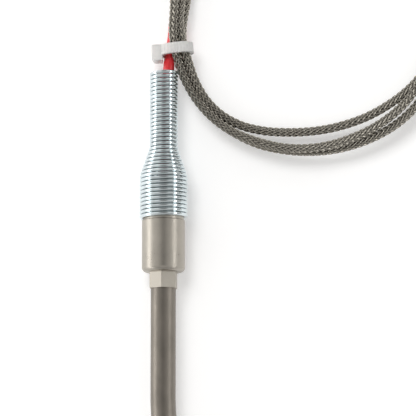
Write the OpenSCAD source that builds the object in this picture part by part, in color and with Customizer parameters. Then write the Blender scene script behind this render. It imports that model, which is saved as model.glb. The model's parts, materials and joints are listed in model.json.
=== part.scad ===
// Mineral-insulated thermocouple with a crimped pot, a bend-protection spring and a coiled braided lead.
// Lengths are in millimetres. The probe axis is Y: the sheath points to -Y and the lead leaves towards +Y.
// The origin is on the probe axis, where the straight wall of the pot begins above its rounded shoulder.

/* [Sheath] */
// Outside diameter of the sheath
sheath_d = 6; // [5:0.5:6.5]
// Wall thickness of the sheath
sheath_wall = 0.7; // [0.5:0.1:0.8]
// Length of the sheath from the neck to the tip, measured along it
immersion = 150; // [100:10:300]
// Straight length between the neck and the bend
straight_run = 26; // [15:1:40]
// Radius of the bend, at the middle of the sheath
bend_r = 50; // [40:5:80]
// Angle of the bend
bend_angle = 20; // [10:5:30]

/* [Conductors] */
// Diameter of the two thermoelement wires inside the sheath
element_d = 0.8; // [0.6:0.1:0.9]
// Distance of each wire from the middle of the sheath
element_offset = 1.2; // [1.1:0.1:1.3]

/* [Pot] */
// Outside diameter of the pot
pot_d = 10.3; // [10:0.1:11]
// Length of the pot's straight outside wall
pot_wall_len = 11.4; // [10:0.2:12]
// Radius of the rounded shoulder
shoulder_r = 1.1; // [0.8:0.1:1.5]
// Length of the hexagonal crimped neck
neck_len = 3.9; // [3:0.1:6]
// Length of the spigot that carries the spring
spigot_len = 10; // [8:0.5:10]

/* [Spring] */
// Wire diameter of the bend-protection spring
wire_d = 0.95; // [0.9:0.01:0.95]
// Distance between coils
coil_pitch = 0.955; // [0.955:0.005:0.98]
// Number of coils
coil_count = 38; // [34:1:38]
// Outside diameter of the spring's narrow end
narrow_od = 7; // [6.8:0.1:8]

/* [Lead] */
// Diameter of the braided lead
lead_d = 2.1; // [1.8:0.1:2.1]
// Wall thickness of the red sleeves over the lead
sleeve_wall = 0.3; // [0.2:0.05:0.3]
// Radius of the coil, at the middle of its turns
lead_coil_r = 33.6; // [33:0.1:35]
// Width of the coil's ring of turns
lead_coil_w = 8.8; // [7:0.1:9]

/* [Cable tie] */
// Width of the tie's strap
strap_w = 2.5; // [2.2:0.1:3]
// Thickness of the tie's strap
strap_t = 1.05; // [0.9:0.05:1.2]

/* [Hidden] */

$fn = 48;
gap = 0.02;                 // clearance between pieces that fit into each other
touch = 0.1;                // how far a cutter runs past the face it opens
tube_sides = 8;

sheath_r = sheath_d / 2;
core_r = sheath_r - sheath_wall;
element_r = element_d / 2;
pot_r = pot_d / 2;
pot_bore_r = 4.2;
pot_floor = 0.9;            // where the pot's bore begins
neck_flats = sheath_d + 0.25;
neck_turn = -6;             // how far the neck's hexagon is turned about the probe axis
neck_end = -shoulder_r - neck_len;
bend_start = neck_end - straight_run;
tip_leg = immersion - straight_run - bend_r * bend_angle * PI / 180;
tip_plug_len = 4;           // solid length at the tip, its dome included
junction_gap = 6;           // from the end of the mineral core to the tip of the plug

wide_r = pot_r - 0.25 + wire_d;     // outside radius of the spring's wide end
spigot_r = wide_r - wire_d - gap;
narrow_r = narrow_od / 2;
spring_start = pot_wall_len + 0.05;
flare_start = 21.7;
flare_end = 29.4;

// The bent tip leg rolls down until it touches the surface that the spring's wide end lies on.
floor_z = -wide_r;
tip_side = bend_r * (1 - cos(bend_angle)) + tip_leg * sin(bend_angle);
bend_roll = asin((wide_r - sheath_r - gap) / tip_side);

// Inside the pot, from the sheath's end towards the lead
sheath_end = 2.2;
seal_start = 1;
splice_start = 4.6;
splice_end = 9.4;
splice_mid = 7.1;
splice_r = 0.75;
splice_sleeve_r = 1.05;
core_outer_r = 0.42;
core_wire_r = 0.28;
wrap_start = 12.8;
wrap_r = 1;
potting_end = 19;

lead_r = lead_d / 2;
sleeve_r = lead_r + sleeve_wall;

// The lead's route out of the pot, through the spring and the tie, into the coil
lead_route = [
    [0, 14, 0], [0, 16, 0], [0, 20, 0], [0, 26, 0], [0.2, 32, 0], [0.6, 38, 0], [1, 44, -0.1],
    [1.1, 48, -0.2], [1.4, 51, -0.8], [1.8, 54, -1.8], [2.2, 57, -2.7], [2.4, 60, -3.3],
    [2.5, 63, -3.6]
];
// The two ends of the red sleeve, as places in the lead's route
sleeve_from = 1;
sleeve_to = 11;

coil_middle = [35.4, 64.7];
coil_h = 2 * lead_d;

// The lead's route from the coil to the end of its braid
end_route = [
    [71.4, 64, -4.7], [71.6, 58, -4.75], [71.9, 52, -4.75], [72.3, 46, -4.75], [72.8, 40, -4.75],
    [73.3, 34, -4.75], [73.7, 28, -4.75], [74, 22, -4.75], [74.1, 16, -4.75], [74, 10, -4.75],
    [73.7, 4, -4.75], [73.2, -2, -4.75], [72.6, -8, -4.75], [72, -14, -4.75], [71.5, -20, -4.75],
    [71.2, -26, -4.75], [71.1, -32, -4.75], [71.2, -38, -4.75], [71.5, -44, -4.75],
    [72, -50, -4.75], [72.6, -56, -4.7], [73.2, -62, -4.6], [73.7, -68, -4.5],
    [74, -74, -4.45], [74.1, -80, -4.45], [74.1, -86, -4.45]
];
end_sleeve_route = [[74, -76, -4.45], [74.1, -80, -4.45], [74.1, -86, -4.45], [74.1, -90, -4.45]];
// The two tails, from the end of the braid to where their wires are bared
tail_route_positive = [
    [74.56, -86, -4.45], [74.56, -90, -4.5], [75, -96, -5], [76, -103, -5.4], [77.2, -110, -5.4],
    [78.2, -117, -5.4], [78.8, -124, -5.4], [79, -131, -5.4]
];
tail_route_negative = [
    [73.64, -86, -4.45], [73.64, -90, -4.5], [73.2, -96, -5], [72.2, -103, -5.4],
    [71.2, -110, -5.4], [70.5, -117, -5.4], [70.2, -124, -5.4], [70.2, -131, -5.4]
];
bare_len = 8;               // length of the bared wire at the end of each tail

tie_middle = [3.3, 52.4, -0.3];
tie_turn = 14;              // the strap crosses the bundle squarely
tie_hole = [6.8, 4.8];
tie_head = [2.7, 4.6, 4.6];

steel = [0.66, 0.63, 0.58];
pot_steel = [0.72, 0.7, 0.66];
zinc = [0.8, 0.86, 0.9];
braid_grey = [0.55, 0.53, 0.48];
magnesia = [0.93, 0.92, 0.88];
nickel = [0.6, 0.58, 0.54];
cement = [0.85, 0.82, 0.74];
fibre_green = [0.45, 0.6, 0.42];
fibre_white = [0.92, 0.91, 0.87];
red = [0.86, 0.14, 0.16];
nylon = [0.9, 0.9, 0.88];

function unit(v) = v / norm(v);
function heading(route, i) =
    unit(route[min(i + 1, len(route) - 1)] - route[max(i - 1, 0)]);
function ring(route, i, r) =
    let (t = heading(route, i), side = unit(cross(t, [0, 0, 1])), up = cross(side, t))
    [for (k = [0 : tube_sides - 1])
        route[i] + r * (cos(360 * k / tube_sides) * side + sin(360 * k / tube_sides) * up)];
function part_of(route, first, last) = [for (i = [first : last]) route[i]];

// A round tube swept along a route
module tube(route, r) {
    n = tube_sides;
    last = len(route) - 1;
    polyhedron(
        points = [for (i = [0 : last]) each ring(route, i, r)],
        faces = [
            [for (k = [n - 1 : -1 : 0]) k],
            [for (k = [0 : n - 1]) last * n + k],
            for (i = [0 : last - 1], k = [0 : n - 1])
                [i * n + k, i * n + (k + 1) % n, (i + 1) * n + (k + 1) % n, (i + 1) * n + k]
        ]
    );
}

// A rod along the probe axis from one place on it to another
module rod(from, to, r, up = 0) {
    translate([0, from, up]) rotate([-90, 0, 0]) cylinder(h = to - from, r = r);
}

// Turns its children about the probe axis, so that the bent tip leg lies down
module rolled() {
    rotate([0, bend_roll, 0]) children();
}

// Places its children at the end of the bend, pointing along the tip leg
module on_tip_leg(along) {
    translate([bend_r, bend_start, 0]) rotate([0, 0, bend_angle])
        translate([-bend_r, 0, 0]) rotate([90, 0, 0]) translate([0, 0, along]) children();
}

// A rod that follows the sheath from a place on the probe axis to a place on the tip leg.
// The bend is a hair thinner than its two straight legs, which run a little way into it.
module sheath_rod(from, leg, r, up = 0) {
    lap = 0.3;
    rolled() {
        rod(bend_start - lap, from, r, up);
        translate([bend_r, bend_start, 0])
            rotate_extrude(angle = bend_angle, start = 180) translate([bend_r, up]) circle(r - gap);
        on_tip_leg(-lap) translate([0, up, 0]) cylinder(h = leg + lap, r = r);
    }
}

module sheath() {
    color(steel) difference() {
        sheath_rod(sheath_end, tip_leg - tip_plug_len, sheath_r);
        sheath_rod(sheath_end + touch, tip_leg, core_r);
    }
}

// The welded plug that closes the sheath, with a domed end
module tip_plug() {
    dome_r = 1.2;
    color(steel) rolled() on_tip_leg(tip_leg) rotate_extrude() {
        translate([0, -tip_plug_len]) square([sheath_r, tip_plug_len - dome_r]);
        translate([0, -dome_r]) square([sheath_r - dome_r, dome_r]);
        translate([sheath_r - dome_r, -dome_r]) intersection() {
            circle(dome_r);
            square(dome_r);
        }
    }
}

module mineral_insulation() {
    color(magnesia) difference() {
        sheath_rod(seal_start, tip_leg - junction_gap, core_r - gap);
        for (side = [-1, 1])
            sheath_rod(seal_start + touch, tip_leg, element_r + gap, side * element_offset);
    }
}

module element(side) {
    color(nickel) sheath_rod(splice_mid - gap, tip_leg - junction_gap, element_r, side * element_offset);
}
module element_positive() { element(1); }
module element_negative() { element(-1); }

// The weld bead that joins the two wires in front of the mineral core
module hot_junction() {
    bead_r = 0.6;
    color(nickel) rolled() on_tip_leg(tip_leg - junction_gap + bead_r)
        rotate([90, 0, 0]) translate([0, 0, -element_offset - element_r])
            cylinder(h = 2 * (element_offset + element_r), r = bead_r);
}

// The seal that keeps moisture out of the mineral core
module end_seal() {
    color(cement) rolled() difference() {
        rod(seal_start + gap, sheath_end, core_r - gap);
        for (side = [-1, 1])
            rod(seal_start, sheath_end + touch, element_r + gap, side * element_offset);
    }
}

// The pot: a hexagonal neck crimped on the sheath, a rounded shoulder, a wall and the spring's spigot
module pot() {
    color(pot_steel) difference() {
        union() {
            rotate([0, neck_turn, 0]) translate([0, neck_end, 0]) rotate([-90, 0, 0])
                rotate([0, 0, 30]) cylinder(h = neck_len + shoulder_r, d = neck_flats / cos(30), $fn = 6);
            rotate([-90, 0, 0]) rotate_extrude() {
                translate([0, -shoulder_r]) square([pot_r - shoulder_r, shoulder_r]);
                translate([pot_r - shoulder_r, 0]) intersection() {
                    circle(shoulder_r);
                    translate([0, -shoulder_r]) square(shoulder_r);
                }
                square([pot_r, pot_wall_len]);
                translate([0, pot_wall_len]) square([spigot_r, spigot_len]);
            }
        }
        rod(neck_end - touch, pot_floor + touch, sheath_r);
        rod(pot_floor, pot_wall_len + spigot_len + touch, pot_bore_r);
    }
}

// The fill round the splices, the cores and the start of the lead
module potting_compound() {
    color(cement) difference() {
        rod(pot_floor + gap, potting_end, pot_bore_r - gap);
        rod(pot_floor, sheath_end + gap, sheath_r + gap);
        rolled() for (side = [-1, 1]) {
            rod(sheath_end, splice_start, element_r + gap, side * element_offset);
            rod(splice_start - gap, splice_end + gap, splice_sleeve_r + gap, side * element_offset);
        }
        for (side = [-1, 1]) rolled() tube(core_route(side), core_outer_r + 2 * gap);
        rod(wrap_start - gap, lead_route[0][1], wrap_r + gap);
        rod(lead_route[0][1] - gap, lead_route[1][1], lead_r + gap);
        rod(lead_route[1][1] - gap, potting_end + touch, sleeve_r + gap);
    }
}

// A crimp barrel that joins a thermoelement wire to a core of the lead
module splice(side) {
    web = 0.15;
    color(nickel) rolled() difference() {
        rod(splice_start, splice_end, splice_r, side * element_offset);
        rod(splice_start - touch, splice_mid, element_r + gap, side * element_offset);
        rod(splice_mid + web, splice_end + touch, core_wire_r + gap, side * element_offset);
    }
}
module splice_positive() { splice(1); }
module splice_negative() { splice(-1); }

module splice_sleeve(side) {
    color(fibre_white) rolled() difference() {
        rod(splice_start, splice_end, splice_sleeve_r, side * element_offset);
        rod(splice_start - touch, splice_end + touch, splice_r + gap, side * element_offset);
    }
}
module splice_sleeve_positive() { splice_sleeve(1); }
module splice_sleeve_negative() { splice_sleeve(-1); }

// The cores close in from the splices to the lead
function core_route(side) = [
    [0, splice_end + 0.2, side * element_offset], [0, 10.6, side * 1.1], [0, 11.6, side * 0.75],
    [0, wrap_start, side * 0.46], [0, 14, side * 0.46]
];
function core_wire_route(side) = concat(
    [[0, splice_mid + 0.2, side * element_offset], [0, splice_end, side * element_offset]],
    core_route(side)
);

module core(side, tint) {
    color(tint) rolled() difference() {
        tube(core_route(side), core_outer_r);
        tube(core_wire_route(side), core_wire_r + gap);
        rod(splice_end, splice_end + 0.3, core_wire_r + gap, side * element_offset);
    }
}
module core_positive() { core(1, fibre_green); }
module core_negative() { core(-1, fibre_white); }

module core_wire(side) {
    color(nickel) rolled() tube(core_wire_route(side), core_wire_r);
}
module core_wire_positive() { core_wire(1); }
module core_wire_negative() { core_wire(-1); }

// The glass-fibre wrap round both cores, where it comes out of the braid
module glass_wrap() {
    color(fibre_white) rolled() difference() {
        rod(wrap_start, lead_route[0][1], wrap_r);
        for (side = [-1, 1])
            rod(wrap_start - touch, lead_route[0][1] + touch, core_outer_r + gap, side * 0.46);
    }
}

function spring_r(y) =
    y < flare_start ? wide_r :
    y > flare_end ? narrow_r :
    wide_r + (narrow_r - wide_r) * (y - flare_start) / (flare_end - flare_start);

// Close coils, joined by a thin web so that they are one solid
module relief_spring() {
    web = 0.3;
    last = spring_start + wire_d / 2 + (coil_count - 1) * coil_pitch;
    middle = wire_d / 2;
    color(zinc) rotate([-90, 0, 0]) rotate_extrude() {
        for (i = [0 : coil_count - 1]) {
            y = spring_start + wire_d / 2 + i * coil_pitch;
            translate([spring_r(y) - middle, y]) circle(wire_d / 2, $fn = 24);
        }
        polygon([
            [wide_r - middle - web / 2, spring_start + middle],
            [wide_r - middle + web / 2, spring_start + middle],
            [wide_r - middle + web / 2, flare_start], [narrow_r - middle + web / 2, flare_end],
            [narrow_r - middle + web / 2, last], [narrow_r - middle - web / 2, last],
            [narrow_r - middle - web / 2, flare_end], [wide_r - middle - web / 2, flare_start]
        ]);
    }
}

module red_sleeve() {
    color(red) difference() {
        tube(part_of(lead_route, sleeve_from, sleeve_to), sleeve_r);
        tube(lead_route, lead_r + gap);
    }
}

module lead() {
    color(braid_grey) tube(lead_route, lead_r);
}

// The outer shape of the lead's turns
module lead_coil() {
    end_r = coil_h / 2;
    color(braid_grey) translate([coil_middle[0], coil_middle[1], floor_z + end_r])
        rotate_extrude($fn = 96) {
            for (edge = [-1, 1])
                translate([lead_coil_r + edge * (lead_coil_w / 2 - end_r), 0]) circle(end_r, $fn = 32);
            translate([lead_coil_r - lead_coil_w / 2 + end_r, -end_r])
                square([lead_coil_w - 2 * end_r, 2 * end_r]);
        }
}

module lead_end() {
    color(braid_grey) tube(end_route, lead_r);
}

// A rounded slot outline, as wide and as high as given
module slot_outline(size) {
    r = size[1] / 2;
    for (side = [-1, 1]) translate([side * (size[0] / 2 - r), 0]) circle(r);
    square([size[0] - 2 * r, size[1]], center = true);
}

// The strap runs round the bundle and through the head, and is cut off behind it
module cable_tie() {
    stub = 0.9;
    color(nylon) translate(tie_middle) rotate([0, 0, tie_turn]) {
        rotate([90, 0, 0]) linear_extrude(strap_w, center = true) difference() {
            slot_outline([tie_hole[0] + 2 * strap_t, tie_hole[1] + 2 * strap_t]);
            slot_outline(tie_hole);
        }
        translate([-tie_hole[0] / 2 - tie_head[0] - 0.1, -tie_head[1] / 2, -tie_head[2] / 2]) cube(tie_head);
        translate([-tie_hole[0] / 2 - tie_head[0] + 0.7, -strap_w / 2, tie_head[2] / 2 - touch])
            cube([strap_t, strap_w, stub]);
    }
}

module end_sleeve() {
    color(red) difference() {
        tube(end_sleeve_route, sleeve_r);
        tube(end_route, lead_r + gap);
        tube(tail_route_positive, core_outer_r + gap);
        tube(tail_route_negative, core_outer_r + gap);
    }
}

module tail_positive() {
    color(fibre_green) tube(tail_route_positive, core_outer_r);
}
module tail_negative() {
    color(fibre_white) tube(tail_route_negative, core_outer_r);
}

module tail_wire(route) {
    bared = route[len(route) - 1];
    color(nickel) translate([bared[0], 0, 0])
        rod(bared[1] - bare_len, bared[1], core_wire_r, bared[2]);
}
module tail_wire_positive() { tail_wire(tail_route_positive); }
module tail_wire_negative() { tail_wire(tail_route_negative); }

sheath();
tip_plug();
mineral_insulation();
element_positive();
element_negative();
hot_junction();
end_seal();
pot();
potting_compound();
splice_positive();
splice_negative();
splice_sleeve_positive();
splice_sleeve_negative();
core_positive();
core_negative();
core_wire_positive();
core_wire_negative();
glass_wrap();
relief_spring();
red_sleeve();
lead();
lead_coil();
lead_end();
cable_tie();
end_sleeve();
tail_positive();
tail_negative();
tail_wire_positive();
tail_wire_negative();
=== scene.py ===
"""Mineral-insulated thermocouple with a crimped pot, a bend-protection spring and a coiled braided lead.

Lengths are in metres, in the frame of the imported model: the probe axis is Y, the sheath points to -Y,
the lead leaves towards +Y and +Z is up.
"""

import json
import math

import bmesh
import bpy
import numpy as np
from bpy.props import FloatProperty, FloatVectorProperty, IntProperty, PointerProperty
from bpy.types import Operator, Panel, PropertyGroup
from mathutils import Matrix, Vector


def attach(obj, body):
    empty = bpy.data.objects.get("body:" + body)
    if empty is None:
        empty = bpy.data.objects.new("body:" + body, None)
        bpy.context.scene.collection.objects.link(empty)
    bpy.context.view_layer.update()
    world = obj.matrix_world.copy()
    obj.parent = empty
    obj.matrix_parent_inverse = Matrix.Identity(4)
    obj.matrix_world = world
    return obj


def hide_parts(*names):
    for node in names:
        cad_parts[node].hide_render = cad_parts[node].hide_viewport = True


bl_info = {
    "name": "Braided-lead thermocouple",
    "version": (1, 0, 0),
    "blender": (4, 5, 0),
    "location": "3D View > Sidebar > Thermocouple",
    "description": "Builds the pieces, the finishes and the studio of a thermocouple with a braided lead",
    "category": "Object",
}

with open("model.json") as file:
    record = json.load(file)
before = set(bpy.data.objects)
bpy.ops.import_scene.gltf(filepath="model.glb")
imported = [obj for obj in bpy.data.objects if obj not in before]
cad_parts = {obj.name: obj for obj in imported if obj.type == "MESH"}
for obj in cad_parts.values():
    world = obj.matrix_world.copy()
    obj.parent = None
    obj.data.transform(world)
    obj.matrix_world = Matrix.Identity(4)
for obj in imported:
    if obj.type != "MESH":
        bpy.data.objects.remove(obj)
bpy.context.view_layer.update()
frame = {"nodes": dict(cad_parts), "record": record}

MM = 0.001
TURN = 2 * math.pi
MERGE = 0.001 * MM

# Places along the probe, in millimetres
FLOOR_Z = -5.85
NECK_END = -5.0
BEND_START = -31.0
BEND_R = 50.0
BEND_ANGLE = math.radians(20)
BEND_ROLL = math.radians(4.113)
SHEATH_END = 2.2
SPRING_START = 11.45
FLARE_START = 21.7
FLARE_END = 29.4

# The lead's route out of the pot, through the spring and the tie, into the coil
LEAD_ROUTE = [
    (0, 14, 0), (0, 16, 0), (0, 20, 0), (0, 26, 0), (0.2, 32, 0), (0.6, 38, 0), (1, 44, -0.1),
    (1.1, 48, -0.2), (1.4, 51, -0.8), (1.8, 54, -1.8), (2.2, 57, -2.7), (2.4, 60, -3.3),
    (2.5, 63, -3.6),
]
SLEEVE_ROUTE = LEAD_ROUTE[1:12]

COIL_MIDDLE = (35.4, 64.7)
# The winding of the coil: how far round from its left side in degrees, radius and height.
# Of its three turns and a half, the first two lie side by side on the floor and the third in their
# groove. On the left and below, the tie and the crossings hold them all above the floor.
# Known fault: from 905 to 945 degrees the third turn cuts into the second, 360 degrees before it.
WINDING = [
    (12, 33.2, -4.2), (30, 33.6, -4.65), (45, 33.85, -4.75), (90, 34.1, -4.8), (130, 34.0, -4.8),
    (150, 34.0, -4.75), (170, 34.0, -4.4), (190, 34.1, -3.6),
    (210, 34.9, -1.8), (230, 36.1, -0.4), (254, 36.3, -0.9), (278, 36.4, -2.0), (292, 36.6, -2.6),
    (306, 36.35, -2.9), (320, 35.5, -2.6), (332, 34.15, -2.0), (341, 32.7, -1.6), (350, 31.4, -1.5),
    (359, 30.2, -1.9), (375, 30.0, -2.8), (400, 30.6, -4.1), (425, 31.3, -4.75), (450, 31.8, -4.8),
    (490, 31.9, -4.8), (505, 31.9, -4.75), (525, 31.85, -4.45), (550, 31.8, -3.2),
    (575, 32.65, -0.7), (590, 33.7, 0.6), (602, 34.3, 0.95),
    (614, 34.85, 0.9), (626, 35.6, 0.55), (638, 36.15, 0.1), (650, 36.45, -0.4), (663, 36.85, -0.75),
    (675, 36.6, -0.6), (686, 35.9, -0.1), (698, 34.9, 0.7), (707, 34.1, 1.1), (716, 33.1, 1.2),
    (726, 33.0, 0.5), (740, 33.5, -0.9), (755, 33.3, -2.2), (772, 33.1, -2.9), (810, 33.0, -3.0),
    (880, 32.95, -3.0), (905, 32.8, -2.7), (920, 32.5, -1.8), (944, 31.7, -0.5), (952, 31.3, -0.8),
    (962, 31.0, -1.3), (974, 30.85, -1.8), (988, 31.2, -2.1), (1000, 32.0, -2.2), (1010, 33.15, -2.1),
    (1020, 34.3, -1.9), (1028, 34.8, -1.5), (1036, 34.7, -1.0), (1044, 34.05, -0.4), (1053, 33.0, 0.1),
    (1062, 32.45, 0.5), (1071, 32.0, 0.5), (1079, 31.4, -0.1), (1090, 31.3, -0.1), (1102, 31.6, 0.0),
    (1116, 32.4, -0.3), (1130, 33.4, -0.7), (1145, 34.6, -1.6), (1160, 35.6, -3.0), (1180, 36.2, -4.5),
    (1195, 36.25, -4.8), (1230, 36.2, -4.8), (1252, 36.1, -4.75),
]

# The lead's route from the coil to the end of its braid
END_ROUTE = [
    (71.4, 64, -4.7), (71.6, 58, -4.75), (71.9, 52, -4.75), (72.3, 46, -4.75), (72.8, 40, -4.75),
    (73.3, 34, -4.75), (73.7, 28, -4.75), (74, 22, -4.75), (74.1, 16, -4.75), (74, 10, -4.75),
    (73.7, 4, -4.75), (73.2, -2, -4.75), (72.6, -8, -4.75), (72, -14, -4.75), (71.5, -20, -4.75),
    (71.2, -26, -4.75), (71.1, -32, -4.75), (71.2, -38, -4.75), (71.5, -44, -4.75),
    (72, -50, -4.75), (72.6, -56, -4.7), (73.2, -62, -4.6), (73.7, -68, -4.5),
    (74, -74, -4.45), (74.1, -80, -4.45), (74.1, -86, -4.45),
]
END_SLEEVE_ROUTE = [(74, -76, -4.45), (74.1, -80, -4.45), (74.1, -86, -4.45), (74.1, -90, -4.45)]
TAIL_ROUTES = {
    "tail_positive": [
        (74.56, -86, -4.45), (74.56, -90, -4.5), (75, -96, -5), (76, -103, -5.4), (77.2, -110, -5.4),
        (78.2, -117, -5.4), (78.8, -124, -5.4), (79, -131, -5.4),
    ],
    "tail_negative": [
        (73.64, -86, -4.45), (73.64, -90, -4.5), (73.2, -96, -5), (72.2, -103, -5.4),
        (71.2, -110, -5.4), (70.5, -117, -5.4), (70.2, -124, -5.4), (70.2, -131, -5.4),
    ],
}

YARN_GREEN = (0.22, 0.42, 0.2)
YARN_WHITE = (0.86, 0.84, 0.78)

# The soft lights: distance, how far above the horizon and round from -X towards +Y in degrees,
# and length and width
WINDOW_LIGHT = (0.6, (9.5, 0), (1.3, 0.16))
STRIP_LIGHT = (0.6, (28, 180), (1.3, 0.08))
KEY_LIGHT = (1.0, (63, 59), (0.42, 0.42))
LIGHTS_AIM = Vector((0.01, 0.015, 0))


# ---------------------------------------------------------------- settings

class SheathSettings(PropertyGroup):
    """Sizes of the sheath"""

    radius: FloatProperty(name="Radius", description="Outside radius of the sheath",
                          default=3.0 * MM, min=2.0 * MM, max=4.0 * MM, unit="LENGTH")
    wall: FloatProperty(name="Wall", description="Wall thickness of the sheath",
                        default=0.7 * MM, min=0.3 * MM, max=1.0 * MM, unit="LENGTH")
    length: FloatProperty(name="Length", description="Length from the sheath's hidden end to its plug",
                          default=153.2 * MM, min=80 * MM, max=300 * MM, unit="LENGTH")


class PotSettings(PropertyGroup):
    """Sizes of the pot"""

    radius: FloatProperty(name="Radius", description="Outside radius of the pot's wall",
                          default=5.15 * MM, min=4.5 * MM, max=6.0 * MM, unit="LENGTH")
    flats: FloatProperty(name="Neck across flats", description="Width of the crimped neck across its flats",
                         default=6.25 * MM, min=6.1 * MM, max=7.0 * MM, unit="LENGTH")
    shoulder: FloatProperty(name="Shoulder", description="Radius of the rounded shoulder",
                            default=1.1 * MM, min=0.5 * MM, max=1.5 * MM, unit="LENGTH")


class SpringSettings(PropertyGroup):
    """Sizes of the relief spring"""

    wire: FloatProperty(name="Wire", description="Diameter of the spring's wire",
                        default=0.9 * MM, min=0.6 * MM, max=1.0 * MM, unit="LENGTH")
    pitch: FloatProperty(name="Pitch", description="Distance between coils",
                         default=0.964 * MM, min=0.9 * MM, max=1.1 * MM, unit="LENGTH")
    coils: IntProperty(name="Coils", description="Number of coils", default=38, min=20, max=40)
    wide: FloatProperty(name="Wide radius", description="Outside radius of the wide end",
                        default=5.85 * MM, min=5.0 * MM, max=7.0 * MM, unit="LENGTH")
    narrow: FloatProperty(name="Narrow radius", description="Outside radius of the narrow end",
                          default=3.5 * MM, min=3.0 * MM, max=5.0 * MM, unit="LENGTH")


class LeadSettings(PropertyGroup):
    """Sizes of the lead and its braid"""

    diameter: FloatProperty(name="Diameter", description="Diameter over the braid",
                            default=2.1 * MM, min=1.5 * MM, max=3.0 * MM, unit="LENGTH")
    lay: FloatProperty(name="Lay", description="Length in which a strand of the braid goes once round",
                       default=11.6 * MM, min=6 * MM, max=20 * MM, unit="LENGTH")
    strand: FloatProperty(name="Strand width", description="Width of one flat strand of the braid",
                          default=0.47 * MM, min=0.3 * MM, max=0.8 * MM, unit="LENGTH")
    sleeve_wall: FloatProperty(name="Sleeve wall", description="Wall thickness of the red sleeves",
                               default=0.28 * MM, min=0.15 * MM, max=0.4 * MM, unit="LENGTH")


class TieSettings(PropertyGroup):
    """Sizes of the cable tie"""

    strap_width: FloatProperty(name="Strap width", description="Width of the strap",
                               default=2.5 * MM, min=2.0 * MM, max=3.6 * MM, unit="LENGTH")
    strap_thickness: FloatProperty(name="Strap thickness", description="Thickness of the strap",
                                   default=1.0 * MM, min=0.6 * MM, max=1.3 * MM, unit="LENGTH")


class FinishSettings(PropertyGroup):
    """Colours of the finishes"""

    sheath: FloatVectorProperty(name="Sheath", description="Colour of the drawn steel", subtype="COLOR",
                                default=(0.245, 0.222, 0.193), min=0, max=1)
    pot: FloatVectorProperty(name="Pot", description="Colour of the turned steel", subtype="COLOR",
                             default=(0.43, 0.4, 0.352), min=0, max=1)
    zinc: FloatVectorProperty(name="Spring", description="Colour of the zinc plating", subtype="COLOR",
                              default=(0.68, 0.745, 0.765), min=0, max=1)
    braid: FloatVectorProperty(name="Braid", description="Colour of the braid's wires", subtype="COLOR",
                               default=(0.40, 0.375, 0.325), min=0, max=1)
    red: FloatVectorProperty(name="Sleeving", description="Colour of the red sleeving", subtype="COLOR",
                             default=(0.68, 0.028, 0.036), min=0, max=1)
    nylon: FloatVectorProperty(name="Nylon", description="Colour of the cable tie", subtype="COLOR",
                               default=(0.86, 0.855, 0.84), min=0, max=1)


class StageSettings(PropertyGroup):
    """The floor, the lights and the camera"""

    window: FloatProperty(name="Window", description="Power of the long soft light at the left",
                          default=1.8, min=0, max=100, subtype="POWER")
    strip: FloatProperty(name="Strip", description="Power of the narrow soft light at the right",
                         default=1.25, min=0, max=100, subtype="POWER")
    key: FloatProperty(name="Key", description="Power of the soft light that throws the shadows",
                       default=3.7, min=0, max=100, subtype="POWER")
    ceiling: FloatProperty(name="Ceiling", description="Strength of the room's dark patch overhead",
                           default=0.1, min=0, max=4)
    horizon: FloatProperty(name="Horizon", description="Strength of the room's light round the patch",
                           default=0.66, min=0, max=4)
    glow: FloatProperty(name="Floor glow", description="Light of the floor's own, as on a light table",
                        default=0.24, min=0, max=2)
    slant: FloatProperty(name="Slant", description="How much lighter the room is on the key light's side",
                         default=0.3, min=0, max=1)
    elevation: FloatProperty(name="Elevation", description="Height of the camera above the horizon",
                             default=math.radians(81.5), min=0, max=math.pi / 2, subtype="ANGLE")
    distance: FloatProperty(name="Distance", description="Distance of the camera",
                            default=0.6, min=0.2, max=3, unit="LENGTH")


# ---------------------------------------------------------------- modelling helpers

def deselect():
    """Leaves edit mode and deselects everything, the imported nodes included."""
    active = bpy.context.view_layer.objects.active
    if active is not None and active.mode != "OBJECT":
        bpy.ops.object.mode_set(mode="OBJECT")
    bpy.ops.object.select_all(action="DESELECT")


def pick(piece):
    """Makes a piece the only selected one."""
    deselect()
    piece.select_set(True)
    bpy.context.view_layer.objects.active = piece
    return piece


def christen(name):
    """Names the primitive that was just added, and puts its place into its mesh."""
    piece = bpy.context.active_object
    piece.name = name
    piece.data.name = name
    settle(piece)
    return piece


def settle(piece):
    """Puts a piece's place, turn and scale into its mesh."""
    pick(piece)
    bpy.ops.object.transform_apply(location=True, rotation=True, scale=True)


def put(piece, turn, place=(0, 0, 0)):
    """Turns a piece about the origin, moves it, and settles it there."""
    piece.rotation_euler = turn
    piece.location = place
    settle(piece)


def edit(piece, mode):
    """Opens a piece in edit mode with nothing selected."""
    pick(piece)
    bpy.ops.object.mode_set(mode="EDIT")
    bpy.ops.mesh.select_mode(type=mode)
    bpy.ops.mesh.select_all(action="DESELECT")


def choose(piece, kind, wanted):
    """Selects the faces or edges for which wanted is true, and nothing else."""
    bpy.ops.mesh.select_all(action="DESELECT")
    for element in getattr(bmesh.from_edit_mesh(piece.data), kind):
        if wanted(element):
            element.select_set(True)
    bmesh.update_edit_mesh(piece.data)


def runs_along(edge, axis):
    """Whether an edge is over a millimetre long along an axis, 1 for Y or 2 for Z."""
    return abs(edge.verts[0].co[axis] - edge.verts[1].co[axis]) > MM


def apply_modifier(piece, kind, **values):
    """Adds a modifier with the given values and applies it."""
    pick(piece)
    modifier = piece.modifiers.new(kind.title(), kind)
    for key, value in values.items():
        setattr(modifier, key, value)
    bpy.ops.object.modifier_apply(modifier=modifier.name)


def clean(piece):
    """Merges doubles and turns the faces outwards."""
    edit(piece, "VERT")
    bpy.ops.mesh.select_all(action="SELECT")
    bpy.ops.mesh.remove_doubles(threshold=MERGE)
    bpy.ops.mesh.normals_make_consistent(inside=False)
    bpy.ops.object.mode_set(mode="OBJECT")


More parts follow.
